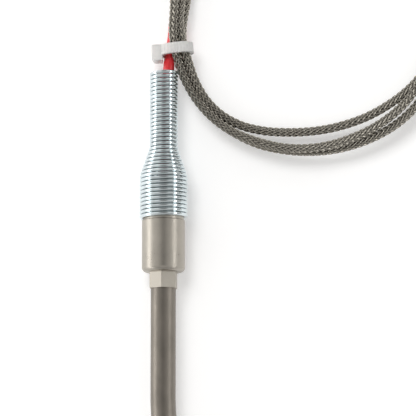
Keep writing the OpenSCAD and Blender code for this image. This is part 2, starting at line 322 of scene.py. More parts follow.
def smooth(piece, degrees):
    """Shades a piece smooth, apart from edges sharper than the given angle."""
    pick(piece)
    bpy.ops.object.shade_smooth_by_angle(angle=math.radians(degrees))


def flatten_shading(piece):
    """Lets the large faces set the shading of their edges, so that flats stay flat."""
    large_face_weight = 90
    apply_modifier(piece, "WEIGHTED_NORMAL", keep_sharp=True, weight=large_face_weight)


def turned(name, profile, sides, closed=False):
    """A shape turned about the probe axis. The profile's rows are radius and place, in millimetres."""
    radius, place = profile[0]
    deselect()
    bpy.ops.mesh.primitive_circle_add(
        vertices=sides, radius=radius * MM, location=(0, place * MM, 0), rotation=(math.pi / 2, 0, 0)
    )
    piece = christen(name)
    edit(piece, "EDGE")
    bpy.ops.mesh.select_all(action="SELECT")
    if not closed:
        bpy.ops.mesh.edge_face_add()
        bpy.ops.mesh.region_to_loop()
    for (r_from, y_from), (r_to, y_to) in zip(profile, profile[1:]):
        bpy.ops.mesh.extrude_edges_move(TRANSFORM_OT_translate={"value": (0, (y_to - y_from) * MM, 0)})
        factor = r_to / r_from
        bpy.ops.transform.resize(value=(factor, 1, factor), center_override=(0, y_to * MM, 0))
    if not closed:
        bpy.ops.mesh.edge_face_add()
    bpy.ops.object.mode_set(mode="OBJECT")
    clean(piece)
    return piece


def arc(middle, radius, start, end, steps):
    """Points of a round stretch of a profile, from one angle to another in degrees."""
    points = []
    for i in range(steps + 1):
        angle = math.radians(start + (end - start) * i / steps)
        points.append((middle[0] + radius * math.cos(angle), middle[1] + radius * math.sin(angle)))
    return points


def boolean(piece, other, operation):
    """Joins a piece with another one, or cuts the other one out of it, and removes the other one."""
    apply_modifier(piece, "BOOLEAN", object=other, operation=operation, solver="EXACT")
    bpy.data.objects.remove(other)


def mark(piece, name, rows):
    """Stores a vector for each vertex, which the finish reads as the piece's own pattern coordinates."""
    attribute = piece.data.attributes.new(name, "FLOAT_VECTOR", "POINT")
    attribute.data.foreach_set("vector", np.asarray(rows, np.float32).ravel())


# ---------------------------------------------------------------- routes of the soft pieces

def through(knots, values, at):
    """A smooth curve through values at knots, read at the given places."""
    knots, values, at = np.asarray(knots, float), np.asarray(values, float), np.asarray(at, float)
    slopes = np.gradient(values, knots, axis=0)
    i = np.clip(np.searchsorted(knots, at, side="right") - 1, 0, len(knots) - 2)
    span = (knots[i + 1] - knots[i])[:, None]
    u = (at - knots[i])[:, None] / span
    return (
        (1 + 2 * u) * (1 - u) ** 2 * values[i] + u * (1 - u) ** 2 * span * slopes[i]
        + u ** 2 * (3 - 2 * u) * values[i + 1] + u ** 2 * (u - 1) * span * slopes[i + 1]
    )


def lengths(points):
    """How far along a route each of its points lies."""
    steps = np.linalg.norm(np.diff(points, axis=0), axis=1)
    return np.concatenate([[0], np.cumsum(steps)])


def route(points, step):
    """A smooth route through points in millimetres, as evenly spaced points in metres."""
    fine_step = 0.1
    points = np.asarray(points, float)
    knots = lengths(points)
    fine = through(knots, points, np.linspace(0, knots[-1], int(knots[-1] / fine_step)))
    along = lengths(fine)
    even = np.linspace(0, along[-1], max(2, int(round(along[-1] / step))) + 1)
    return np.stack([np.interp(even, along, fine[:, k]) for k in range(3)], axis=1) * MM


def coil_points():
    """Points of the coil's turns, one every few degrees."""
    step = 3
    table = np.asarray(WINDING, float)
    degrees = np.arange(table[0, 0], table[-1, 0] + 0.1, step)
    rows = through(table[:, 0], table[:, 1:], degrees)
    angles = np.radians(degrees)
    x = COIL_MIDDLE[0] - rows[:, 0] * np.cos(angles)
    y = COIL_MIDDLE[1] + rows[:, 0] * np.sin(angles)
    return [tuple(point) for point in np.stack([x, y, rows[:, 1]], axis=1)]


def carried_frames(path):
    """Tangent, side and up vectors along a path, carried along it without twist."""
    tangents = np.gradient(path, axis=0)
    tangents /= np.linalg.norm(tangents, axis=1)[:, None]
    side = np.array([1.0, 0.0, 0.0])
    sides = np.empty_like(path)
    for i, tangent in enumerate(tangents):
        side = side - tangent * side.dot(tangent)
        side = side / np.linalg.norm(side)
        sides[i] = side
    return tangents, sides, np.cross(sides, tangents)


def mesh_piece(name, vertices, faces):
    """A new piece from vertices and faces, with its faces turned outwards."""
    mesh = bpy.data.meshes.new(name)
    mesh.from_pydata(vertices, [], faces)
    shell = bmesh.new()
    shell.from_mesh(mesh)
    bmesh.ops.recalc_face_normals(shell, faces=shell.faces)
    shell.to_mesh(mesh)
    shell.free()
    piece = bpy.data.objects.new(name, mesh)
    bpy.context.scene.collection.objects.link(piece)
    return piece


def swept(name, path, radius, sides, bore=None):
    """A round solid along a path, or a tube if it has a bore."""
    tangents, side, up = carried_frames(path)
    angles = np.arange(sides) * TURN / sides
    spokes = side[:, None] * np.cos(angles)[None, :, None] + up[:, None] * np.sin(angles)[None, :, None]
    along = lengths(path)
    rings = []
    marks = []
    walls = [radius] if bore is None else [radius, bore]
    for wall in walls:
        rings.append((path[:, None] + wall * spokes).reshape(-1, 3))
        pattern = np.empty((len(path), sides, 3))
        pattern[..., 0] = np.cos(angles)
        pattern[..., 1] = np.sin(angles)
        pattern[..., 2] = (along / MM)[:, None]
        marks.append(pattern.reshape(-1, 3))
    last = len(path) - 1
    block = len(path) * sides
    faces = []
    for wall in range(len(walls)):
        for i in range(last):
            for k in range(sides):
                a = wall * block + i * sides + k
                b = wall * block + i * sides + (k + 1) % sides
                faces.append((a, b, b + sides, a + sides))
    for end in (0, last * sides):
        if bore is None:
            faces.append(tuple(range(end, end + sides)))
            continue
        for k in range(sides):
            a, b = end + k, end + (k + 1) % sides
            faces.append((a, b, block + b, block + a))
    piece = mesh_piece(name, np.concatenate(rings), faces)
    mark(piece, "around", np.concatenate(marks))
    smooth(piece, 50)
    return piece


def braid_strands(name, path, hand, lead):
    """The flat strands of the braid that run one way round, each over two and under two of the others."""
    strands = 8
    core_gap = 0.83 * MM
    wave_height = 0.09 * MM
    crown = 0.18 * MM
    ramp = 1.6
    phase = 0.5
    tangents, side, up = carried_frames(path)
    along = lengths(path)
    slant = math.atan(TURN * core_gap / lead.lay)
    half = lead.strand / 2
    rows = []
    marks = []
    faces = []
    count = len(path)
    for k in range(strands):
        angle = hand * TURN * along / lead.lay + TURN * k / strands
        crossings = 2 * strands * along / lead.lay
        wave = hand * np.cos(math.pi / 2 * (2 * k + hand * crossings - phase))
        height = core_gap + wave_height * np.clip(ramp * wave, -1, 1)
        block = np.empty((count, 3, 3))
        pattern = np.zeros((count, 3, 3))
        for column, across in enumerate((-1, 0, 1)):
            turn = angle + across * half * math.cos(slant) / core_gap
            radius = height + (crown if across == 0 else 0)
            spoke = side * np.cos(turn)[:, None] + up * np.sin(turn)[:, None]
            shift = -hand * across * half * math.sin(slant)
            block[:, column] = path + spoke * radius[:, None] + tangents * shift
            pattern[:, column, 0] = across
            pattern[:, column, 1] = along / MM
            pattern[:, column, 2] = k + strands * (hand + 1)
        first = 3 * count * k
        rows.append(block.reshape(-1, 3))
        marks.append(pattern.reshape(-1, 3))
        for i in range(count - 1):
            a = first + 3 * i
            for left, right in ((0, 1), (1, 2), (2, 0)):
                faces.append((a + left, a + right, a + right + 3, a + left + 3))
        faces.append((first, first + 1, first + 2))
        faces.append(tuple(first + 3 * (count - 1) + column for column in range(3)))
    piece = mesh_piece(name, np.concatenate(rows), faces)
    mark(piece, "strand", np.concatenate(marks))
    smooth(piece, 60)
    return piece


# ---------------------------------------------------------------- finishes

class Finish:
    """A new material with its shader, and short ways to add the nodes that it is made of."""

    def __init__(self, name, metallic=0.0, roughness=0.5):
        self.material = bpy.data.materials.new(name)
        self.material.use_nodes = True
        self.tree = self.material.node_tree
        self.shader = self.tree.nodes["Principled BSDF"]
        self.shader.inputs["Metallic"].default_value = metallic
        self.shader.inputs["Roughness"].default_value = roughness

    def node(self, kind, **values):
        """Adds a node and sets its properties."""
        node = self.tree.nodes.new(kind)
        for key, value in values.items():
            setattr(node, key, value)
        return node

    def link(self, source, target):
        """Joins an output to an input."""
        self.tree.links.new(source, target)

    def place(self, scale=(1, 1, 1), attribute=None):
        """Pattern coordinates: the object's own in metres, or those stored on the piece."""
        mapping = self.node("ShaderNodeMapping")
        mapping.inputs["Scale"].default_value = scale
        if attribute is None:
            source = self.node("ShaderNodeTexCoord").outputs["Object"]
        else:
            source = self.node("ShaderNodeAttribute", attribute_name=attribute).outputs["Vector"]
        self.link(source, mapping.inputs["Vector"])
        return mapping.outputs["Vector"]

    def noise(self, place, scale, detail=3.0, rough=0.5):
        """Soft random cloud, from 0 to 1."""
        texture = self.node("ShaderNodeTexNoise")
        texture.inputs["Scale"].default_value = scale
        texture.inputs["Detail"].default_value = detail
        texture.inputs["Roughness"].default_value = rough
        self.link(place, texture.inputs["Vector"])
        return texture.outputs["Fac"]

    def spread(self, value, low, high, to_low=0.0, to_high=1.0):
        """Stretches a value from one range to another."""
        ranged = self.node("ShaderNodeMapRange")
        for key, number in (("From Min", low), ("From Max", high), ("To Min", to_low), ("To Max", to_high)):
            ranged.inputs[key].default_value = number
        self.link(value, ranged.inputs["Value"])
        return ranged.outputs["Result"]

    def maths(self, operation, *values):
        """Works out a value from numbers and other values."""
        node = self.node("ShaderNodeMath", operation=operation)
        for socket, value in zip(node.inputs, values):
            if isinstance(value, (int, float)):
                socket.default_value = value
            else:
                self.link(value, socket)
        return node.outputs["Value"]

    def tint(self, factor, dark, light):
        """Colours the shader with a blend of two colours."""
        mix = self.node("ShaderNodeMix", data_type="RGBA")
        first, second = [socket for socket in mix.inputs if socket.type == "RGBA"]
        first.default_value = (*dark, 1)
        second.default_value = (*light, 1)
        self.link(factor, mix.inputs["Factor"])
        blended = [socket for socket in mix.outputs if socket.type == "RGBA"][0]
        self.link(blended, self.shader.inputs["Base Color"])

    def mottle(self, pattern, colour, darker, lighter, low=0.3, high=0.7):
        """Colours the shader with a darker and a lighter shade of one colour, in the pattern's patches."""
        self.tint(self.spread(pattern, low, high), scaled(colour, darker), scaled(colour, lighter))

    def roughen(self, pattern, low, high):
        """Lets the roughness wander between two values with a pattern."""
        self.link(self.spread(pattern, 0.3, 0.7, low, high), self.shader.inputs["Roughness"])

    def relief(self, *layers):
        """Bumps of the given height in metres and strength, laid over each other."""
        normal = None
        for height, distance, strength in layers:
            bump = self.node("ShaderNodeBump")
            bump.inputs["Distance"].default_value = distance
            bump.inputs["Strength"].default_value = strength
            self.link(height, bump.inputs["Height"])
            if normal is not None:
                self.link(normal, bump.inputs["Normal"])
            normal = bump.outputs["Normal"]
        self.link(normal, self.shader.inputs["Normal"])


def scaled(colour, factor):
    """A colour made darker or lighter."""
    return tuple(min(1.0, channel * factor) for channel in colour)


def drawn_steel(colours):
    """Drawn stainless steel, with a grain along the sheath and faint heat tint."""
    finish = Finish("drawn_steel", metallic=1.0)
    finish.shader.inputs["Anisotropic"].default_value = 0.4
    grain = finish.noise(finish.place((9, 9, 0.22), "around"), 3.0, 5.0, 0.6)
    patches = finish.noise(finish.place((0.7, 0.7, 0.12), "around"), 1.5, 3.0)
    finish.mottle(patches, colours.sheath, 0.86, 1.1)
    finish.roughen(grain, 0.38, 0.5)
    finish.relief((grain, 0.03 * MM, 0.35))
    return finish.material


def turned_steel(colours):
    """Turned stainless steel, with fine rings left by the tool and a duller crimped neck."""
    crimp_start, crimp_end, crimp_roughness = -1.3 * MM, -1.6 * MM, 0.05
    finish = Finish("turned_steel", metallic=1.0)
    rings = finish.noise(finish.place((40, 9000, 40)), 1.0, 3.0, 0.6)
    wear = finish.noise(finish.place((250, 250, 250)), 1.0, 4.0, 0.6)
    finish.mottle(wear, colours.pot, 0.92, 1.05)
    parts = finish.node("ShaderNodeSeparateXYZ")
    finish.link(finish.place(), parts.inputs["Vector"])
    crimped = finish.spread(parts.outputs["Y"], crimp_start, crimp_end, 0.0, crimp_roughness)
    rough = finish.maths("ADD", finish.spread(wear, 0.3, 0.7, 0.27, 0.33), crimped)
    finish.link(rough, finish.shader.inputs["Roughness"])
    finish.shader.inputs["Anisotropic"].default_value = 0.7
    round_axis = finish.node("ShaderNodeTangent", direction_type="RADIAL", axis="Y")
    finish.link(round_axis.outputs["Tangent"], finish.shader.inputs["Tangent"])
    finish.relief((rings, 0.004 * MM, 0.15))
    return finish.material


def zinc_plate(colours):
    """Bright zinc plating on hard-drawn wire."""
    finish = Finish("zinc_plated_wire", metallic=1.0)
    clouds = finish.noise(finish.place((300, 300, 300)), 1.0, 4.0, 0.6)
    draw = finish.noise(finish.place((1500, 9000, 1500)), 1.0, 2.0)
    finish.mottle(clouds, colours.zinc, 0.88, 1.08, 0.35, 0.65)
    finish.roughen(clouds, 0.06, 0.12)
    finish.relief((draw, 0.006 * MM, 0.2))
    return finish.material


def braid_wire(colours):
    """Flat strands of fine stainless wires, side by side, with painted shade in the grooves between the
    wires and at the strand edges.
    """
    wires = 5
    finish = Finish("braid_wire", metallic=1.0)
    parts = finish.node("ShaderNodeSeparateXYZ")
    finish.link(finish.place(attribute="strand"), parts.inputs["Vector"])
    wave = finish.maths("MULTIPLY", parts.outputs["X"], wires * math.pi / 2)
    ridges = finish.maths("ABSOLUTE", finish.maths("COSINE", wave))
    patches = finish.noise(finish.place((0.5, 0.9, 7.3), "strand"), 1.0, 3.0)
    # Painted shade: darker in the grooves between the fine wires.
    groove_shade = finish.spread(ridges, 0.0, 0.5, 0.55, 1.0)
    shade_and_tone = finish.maths("MULTIPLY", groove_shade, finish.spread(patches, 0.3, 0.7, 0.65, 1.0))
    # Painted shade: darker towards the edges of each strand, where it passes under the others. The patches
    # are tone that differs at random.
    across = finish.maths("ABSOLUTE", parts.outputs["X"])
    shade_and_tone = finish.maths("MULTIPLY", shade_and_tone, finish.spread(across, 0.45, 0.95, 1.0, 0.0))
    finish.tint(shade_and_tone, scaled(colours.braid, 0.12), scaled(colours.braid, 1.25))
    finish.roughen(patches, 0.16, 0.28)
    finish.relief((ridges, 0.03 * MM, 0.35))
    return finish.material


def braid_shadow(colours):
    """Painted shade: a near-black core under the braid, which shows as the shade between its strands."""
    finish = Finish("glass_wrap_in_braid", roughness=0.8)
    shade_mottle = finish.noise(finish.place((6, 6, 3), "around"), 1.0, 3.0)
    finish.tint(shade_mottle, scaled(colours.braid, 0.02), scaled(colours.braid, 0.1))
    finish.relief((shade_mottle, 0.05 * MM, 0.4))
    return finish.material


def red_sleeving(colours):
    """Glossy red sleeving with a faint ripple."""
    finish = Finish("red_sleeving")
    finish.shader.inputs["Subsurface Weight"].default_value = 0.15
    finish.shader.inputs["Subsurface Radius"].default_value = (1.0, 0.25, 0.2)
    finish.shader.inputs["Subsurface Scale"].default_value = 0.5 * MM
    ripple = finish.noise(finish.place((1.2, 1.2, 0.5), "around"), 1.0, 2.0)
    grain = finish.noise(finish.place((14, 14, 9), "around"), 1.0, 2.0)
    finish.mottle(ripple, colours.red, 0.82, 1.12)
    finish.roughen(grain, 0.26, 0.38)
    finish.relief((ripple, 0.12 * MM, 0.3), (grain, 0.01 * MM, 0.2))
    return finish.material


def milky_nylon(colours):
    """Natural nylon: milky, half clear and softly glossy."""
    finish = Finish("natural_nylon")
    finish.shader.inputs["Transmission Weight"].default_value = 0.28
    finish.shader.inputs["IOR"].default_value = 1.5
    finish.shader.inputs["Subsurface Weight"].default_value = 0.5
    finish.shader.inputs["Subsurface Radius"].default_value = (1.0, 1.0, 0.95)
    finish.shader.inputs["Subsurface Scale"].default_value = 1.0 * MM
    haze = finish.noise(finish.place((900, 900, 900)), 1.0, 3.0)
    finish.mottle(haze, colours.nylon, 0.95, 1.06)
    finish.roughen(haze, 0.45, 0.6)
    finish.relief((haze, 0.02 * MM, 0.3))
    return finish.material


def fibre(name, colour, on_cord):
    """Lapped glass-fibre yarn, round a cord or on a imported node."""
    finish = Finish(name, roughness=0.7)
    place = finish.place((2, 2, 3), "around") if on_cord else finish.place((1200, 1200, 1200))
    wave = finish.node("ShaderNodeTexWave", wave_type="BANDS", bands_direction="DIAGONAL")
    wave.inputs["Scale"].default_value = 1.2
    wave.inputs["Distortion"].default_value = 1.5
    finish.link(place, wave.inputs["Vector"])
    yarn = wave.outputs["Fac"]
    finish.tint(yarn, scaled(colour, 0.7), colour)
    finish.relief((yarn, 0.05 * MM, 0.5))
    return finish.material


def powdery(name, colour, grain):
    """Pressed or cast filler, matt and finely grained."""
    finish = Finish(name, roughness=0.85)
    speckle = finish.noise(finish.place((grain, grain, grain)), 1.0, 4.0, 0.7)
    finish.tint(speckle, scaled(colour, 0.75), colour)
    finish.relief((speckle, 0.05 * MM, 0.5))
    return finish.material


def nickel_wire():
    """Bare nickel alloy, slightly oxidised."""
    dull, bright = (0.34, 0.31, 0.27), (0.62, 0.58, 0.52)
    finish = Finish("nickel_alloy_wire", metallic=1.0)
    oxide = finish.noise(finish.place((700, 250, 700)), 1.0, 4.0, 0.6)
    finish.tint(finish.spread(oxide, 0.35, 0.7), dull, bright)
    finish.roughen(oxide, 0.25, 0.45)
    finish.relief((oxide, 0.01 * MM, 0.3))
    return finish.material


def dress(piece, material):
    """Gives a piece one material all over."""
    piece.data.materials.clear()
    piece.data.materials.append(material)


def fit(piece, material, slot, *nodes):
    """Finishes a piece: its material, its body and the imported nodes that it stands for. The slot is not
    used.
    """
    dress(piece, material)
    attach(piece, "root")
    if nodes:
        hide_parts(*nodes)
    return piece


# ---------------------------------------------------------------- operators

class THERMOCOUPLE_OT_lead(Operator):
    """Lay the braided lead, its red sleeves and its two tails"""

    bl_idname = "thermocouple.lead"
    bl_label = "Braided lead"
    bl_options = {"REGISTER", "UNDO"}

    # Radii, and how far apart the points of each route lie, in millimetres
    WRAP_R, TAIL_R, SLEEVE_GAP = 0.75, 0.42, 0.03
    WRAP_STEP, STRAND_STEP, SLEEVE_STEP, TAIL_STEP = 1.0, 0.32, 0.6, 0.5

    def execute(self, context):
        lead = context.scene.thermocouple_lead
        colours = context.scene.thermocouple_finish
        points = LEAD_ROUTE + coil_points() + END_ROUTE
        core_path = route(points, self.WRAP_STEP)
        # The core is painted shade: it is near black and shows as the shade between the braid's strands.
        core = swept("lead_wrap", core_path, self.WRAP_R * MM, 12)
        fit(core, braid_shadow(colours), "steel_braid", "lead", "lead_coil", "lead_end")
        wire = braid_wire(colours)
        strand_path = route(points, self.STRAND_STEP)
        for name, hand in (("braid_clockwise", 1), ("braid_anticlockwise", -1)):
            strands = braid_strands(name, strand_path, hand, lead)
            fit(strands, wire, "steel_braid")
        red = red_sleeving(colours)
        bore = lead.diameter / 2 + self.SLEEVE_GAP * MM
        for name, points in (("red_sleeve", SLEEVE_ROUTE), ("end_sleeve", END_SLEEVE_ROUTE)):
            path = route(points, self.SLEEVE_STEP)
            sleeve = swept(name + "_tube", path, bore + lead.sleeve_wall, 40, bore)
            fit(sleeve, red, "red_sleeving", name)
        for name, tint, slot in (
            ("tail_positive", YARN_GREEN, "glass_fibre_green"),
            ("tail_negative", YARN_WHITE, "glass_fibre_white"),
        ):
            path = route(TAIL_ROUTES[name], self.TAIL_STEP)
            tail = swept(name + "_core", path, self.TAIL_R * MM, 20)
            fit(tail, fibre(name + "_yarn", tint, True), slot, name)
        return {"FINISHED"}


class THERMOCOUPLE_OT_sheath(Operator):
    """Draw the sheath and bend its tip leg"""

    bl_idname = "thermocouple.sheath"
    bl_label = "Sheath"
    bl_options = {"REGISTER", "UNDO"}

    def execute(self, context):
        sheath = context.scene.thermocouple_sheath
        radius, inner = sheath.radius / MM, (sheath.radius - sheath.wall) / MM
        length = sheath.length / MM
        steps = 100
        places = [SHEATH_END - length * i / steps for i in range(steps + 1)]
        profile = [(radius, y) for y in places] + [(inner, y) for y in reversed(places)]
        piece = turned("drawn_sheath", profile + [profile[0]], 72, closed=True)
        rows = []
        for vertex in piece.data.vertices:
            x, y, z = vertex.co
            reach = math.hypot(x, z)
            rows.append((x / reach, z / reach, y / MM))
            vertex.co = self.bent(vertex.co)
        mark(piece, "around", rows)
        smooth(piece, 40)
        fit(piece, drawn_steel(context.scene.thermocouple_finish), "sheath_steel", "sheath")
        return {"FINISHED"}

    @staticmethod
    def bent(place):
        """Where a point of the straight tube goes when the tip leg is bent aside and laid down."""
        x, y, z = place
        past = BEND_START * MM - y
        if past <= 0:
            return Vector(place)
        angle = min(past / (BEND_R * MM), BEND_ANGLE)
        leg = past - angle * BEND_R * MM
        middle = Vector((BEND_R * MM, BEND_START * MM, 0))
        spoke = Vector((-math.cos(angle), -math.sin(angle), 0))
        ahead = Vector((math.sin(angle), -math.cos(angle), 0))
        point = middle + spoke * (BEND_R * MM - x) + ahead * leg + Vector((0, 0, z))
        return Matrix.Rotation(BEND_ROLL, 4, "Y") @ point


class THERMOCOUPLE_OT_pot(Operator):
    """Turn the pot and crimp its hexagonal neck"""

    bl_idname = "thermocouple.pot"
    bl_label = "Pot"
    bl_options = {"REGISTER", "UNDO"}

    def execute(self, context):
        pot = context.scene.thermocouple_pot
        radius, shoulder = pot.radius / MM, pot.shoulder / MM
        core_r, core_end = 3.05, -3.2
        wall_end, wall_ease = 11.4, 0.12
        spigot_r, spigot_end, spigot_ease = 4.86, 21.4, 0.2
        bore_r, bore_start = 3.0, -6
        room_r, room_start, room_end = 4.2, 0.9, 22
        profile = [(core_r, core_end), (core_r, -shoulder)]
        profile += arc((radius - shoulder, 0), shoulder, -90, 0, 10)
        profile += [(radius, wall_end - wall_ease), (radius - wall_ease, wall_end)]
        profile += [(spigot_r, wall_end), (spigot_r, spigot_end - spigot_ease)]
        profile += [(spigot_r - spigot_ease, spigot_end)]
        piece = turned("turned_pot", profile, 128)
        boolean(piece, self.neck(pot.flats / MM), "UNION")
        hollow = [(bore_r, bore_start), (bore_r, room_start), (room_r, room_start), (room_r, room_end)]
        boolean(piece, turned("pot_bore", hollow, 96), "DIFFERENCE")
        smooth(piece, 28)
        flatten_shading(piece)
        fit(piece, turned_steel(context.scene.thermocouple_finish), "pot_steel", "pot")
        return {"FINISHED"}

    @staticmethod
    def neck(flats):
        """The crimped neck: a hexagonal bar with eased edges."""
        neck_turn = math.radians(-6)
        start, end = NECK_END, -0.6
        long_ease, end_ease = 0.10 * MM, 0.12 * MM
        deselect()
        bpy.ops.mesh.primitive_cylinder_add(
            vertices=6, radius=flats * MM / 2 / math.cos(math.pi / 6), depth=(end - start) * MM,
            location=(0, (start + end) / 2 * MM, 0), rotation=(math.pi / 2, 0, 0),
        )
        piece = christen("crimped_neck")
        put(piece, (0, neck_turn, 0))
        edit(piece, "EDGE")
        choose(piece, "edges", lambda edge: runs_along(edge, 1))
        bpy.ops.mesh.bevel(offset=long_ease, segments=3)
        choose(piece, "edges", lambda edge: all(v.co.y < (start + 0.01) * MM for v in edge.verts))
        bpy.ops.mesh.bevel(offset=end_ease, segments=2)
        bpy.ops.object.mode_set(mode="OBJECT")
        clean(piece)
        return piece


class THERMOCOUPLE_OT_spring(Operator):
    """Wind the relief spring"""

    bl_idname = "thermocouple.spring"
    bl_label = "Relief spring"
    bl_options = {"REGISTER", "UNDO"}

    def execute(self, context):
        spring = context.scene.thermocouple_spring
        wire = spring.wire / 2
        steps = 56
        deselect()
        bpy.ops.mesh.primitive_circle_add(
            vertices=16, radius=wire, location=(spring.wide - wire, SPRING_START * MM + wire, 0)
        )
        piece = christen("spring_wire")
        apply_modifier(piece, "SCREW", axis="Y", angle=TURN, screw_offset=spring.pitch,
                       iterations=spring.coils - 1, steps=steps, render_steps=steps,
                       use_smooth_shade=True, use_merge_vertices=True, merge_threshold=MERGE)
        put(piece, (0, math.pi / 2, 0))
        edit(piece, "EDGE")
        bpy.ops.mesh.select_all(action="SELECT")
        bpy.ops.mesh.fill_holes(sides=0)
        bpy.ops.object.mode_set(mode="OBJECT")
        drop = spring.wide - spring.narrow
        for vertex in piece.data.vertices:
            x, y, z = vertex.co
            reach = math.hypot(x, z)
            flared = min(max((y / MM - FLARE_START) / (FLARE_END - FLARE_START), 0), 1)
            eased = (flared * flared * (3 - 2 * flared) + flared) / 2
            factor = (reach - drop * eased) / reach
            vertex.co = (x * factor, y, z * factor)
        clean(piece)
        smooth(piece, 50)
        fit(piece, zinc_plate(context.scene.thermocouple_finish), "zinc_plated_wire", "relief_spring")
        return {"FINISHED"}


class THERMOCOUPLE_OT_tie(Operator):
    """Close the cable tie round the lead"""

    bl_idname = "thermocouple.tie"
    bl_label = "Cable tie"
    bl_options = {"REGISTER", "UNDO"}

    def execute(self, context):
        tie = context.scene.thermocouple_tie
        nylon = milky_nylon(context.scene.thermocouple_finish)
        fit(self.strap(tie), nylon, "nylon", "cable_tie")
        fit(self.head(), nylon, "nylon", "cable_tie")
        return {"FINISHED"}

    @staticmethod
    def strap(tie):
        """A band with a row of shallow ribs, bent round the bundle."""
        width, height, corner = 8.5 * MM, 6.7 * MM, 3.1 * MM
        ribs_each_way, rib_width, rib_ease, rib_height = 3, 0.38 * MM, 0.07 * MM, 0.09 * MM
        turn, place = math.radians(6.5), Vector((2.9, 53.1, -0.3)) * MM
        deselect()
        bpy.ops.mesh.primitive_cube_add(size=1, scale=(width, tie.strap_width, height))
        piece = christen("cable_tie_strap")
        edit(piece, "EDGE")
        choose(piece, "edges", lambda edge: runs_along(edge, 1))
        bpy.ops.mesh.bevel(offset=corner, segments=12)
        for i in range(-ribs_each_way, ribs_each_way + 1):
            bpy.ops.mesh.select_all(action="SELECT")
            bpy.ops.mesh.bisect(plane_co=(i * rib_width, 0, 0), plane_no=(1, 0, 0))
        choose(piece, "faces", lambda face: abs(face.normal.y) > 0.9)
        bpy.ops.mesh.inset(thickness=tie.strap_thickness, use_even_offset=True)
        bpy.ops.mesh.delete(type="FACE")
        choose(piece, "edges", lambda edge: edge.is_boundary)
        bpy.ops.mesh.bridge_edge_loops()
        bpy.ops.object.mode_set(mode="OBJECT")
        clean(piece)

        def on_top(face):
            """Whether a face lies on the upper outside of the band, where the ribs are."""
            x, _, z = face.calc_center_median()
            faces_up = face.normal.z > 0.25 and abs(face.normal.y) < 0.1
            return faces_up and z > 1.45 * MM and z + 0.45 * abs(x) > 2.9 * MM

        edit(piece, "FACE")
        shell = bmesh.from_edit_mesh(piece.data)
        top = sorted(filter(on_top, shell.faces), key=lambda face: face.calc_center_median().x)
        raised = {face.index for face in top[::2]}
        choose(piece, "faces", lambda face: face.index in raised)
        bpy.ops.mesh.inset(thickness=rib_ease, depth=rib_height, use_individual=True)
        bpy.ops.object.mode_set(mode="OBJECT")
        put(piece, (0, 0, turn), place)
        smooth(piece, 35)
        flatten_shading(piece)
        return piece

    @staticmethod
    def head():
        """The head, rounder at its lower end, with the window of its pawl underneath."""
        size = Vector((2.7, 4.0, 4.5)) * MM
        low_corner, high_corner, ease = 1.3 * MM, 0.6 * MM, 0.22 * MM
        window, window_place = Vector((1.4, 2.0, 0.8)) * MM, Vector((0.1 * MM, 0.2 * MM, -size.z / 2))
        turn, place = math.radians(2), Vector((-1.68, 52.05, -0.3)) * MM
        deselect()
        bpy.ops.mesh.primitive_cube_add(size=1, scale=size)
        piece = christen("cable_tie_head")

        def upright(edge, end):
            """Whether an edge is an upright one on the outer side, at one end of the head."""
            corner = edge.verts[0].co
            return runs_along(edge, 2) and corner.y * end > 0 and corner.x < 0

        edit(piece, "EDGE")
        choose(piece, "edges", lambda edge: upright(edge, -1))
        bpy.ops.mesh.bevel(offset=low_corner, segments=8)
        choose(piece, "edges", lambda edge: upright(edge, 1))
        bpy.ops.mesh.bevel(offset=high_corner, segments=5)
        bpy.ops.object.mode_set(mode="OBJECT")
        apply_modifier(piece, "BEVEL", width=ease, segments=3, limit_method="ANGLE",
                       angle_limit=math.radians(60))
        deselect()
        bpy.ops.mesh.primitive_cube_add(size=1, scale=window, location=window_place)
        boolean(piece, christen("pawl_window"), "DIFFERENCE")
        put(piece, (0, 0, turn), place)
        clean(piece)
        smooth(piece, 35)
        flatten_shading(piece)
        return piece


class THERMOCOUPLE_OT_inner_parts(Operator):
    """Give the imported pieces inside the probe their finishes"""

    bl_idname = "thermocouple.inner_parts"
    bl_label = "Inner parts"
    bl_options = {"REGISTER", "UNDO"}

    def execute(self, context):
        colours = context.scene.thermocouple_finish
        finishes = {
            "sheath_steel": self.plug_steel(colours),
            "magnesia": powdery("pressed_magnesia", (0.85, 0.83, 0.78), 2500),
            "cement": powdery("potting_cement", (0.7, 0.65, 0.52), 1500),
            "nickel_alloy": nickel_wire(),
            "glass_fibre_green": fibre("green_glass_yarn", YARN_GREEN, False),
            "glass_fibre_white": fibre("white_glass_yarn", YARN_WHITE, False),
        }
        slots = {row["node"]: row["material_slot"] for row in frame["record"]["subparts"]}
        for name, node in frame["nodes"].items():
            if not node.hide_render:
                dress(node, finishes[slots[name]])
        return {"FINISHED"}

    @staticmethod
    def plug_steel(colours):
        """Steel of the welded plug, with the mottled tint of its weld."""
        finish = Finish("plug_steel", metallic=1.0)
        heat = finish.noise(finish.place((500, 500, 500)), 1.0, 4.0, 0.6)
        finish.mottle(heat, colours.sheath, 0.8, 1.15, 0.35, 0.65)
        finish.roughen(heat, 0.28, 0.42)
        finish.relief((heat, 0.02 * MM, 0.3))
        return finish.material


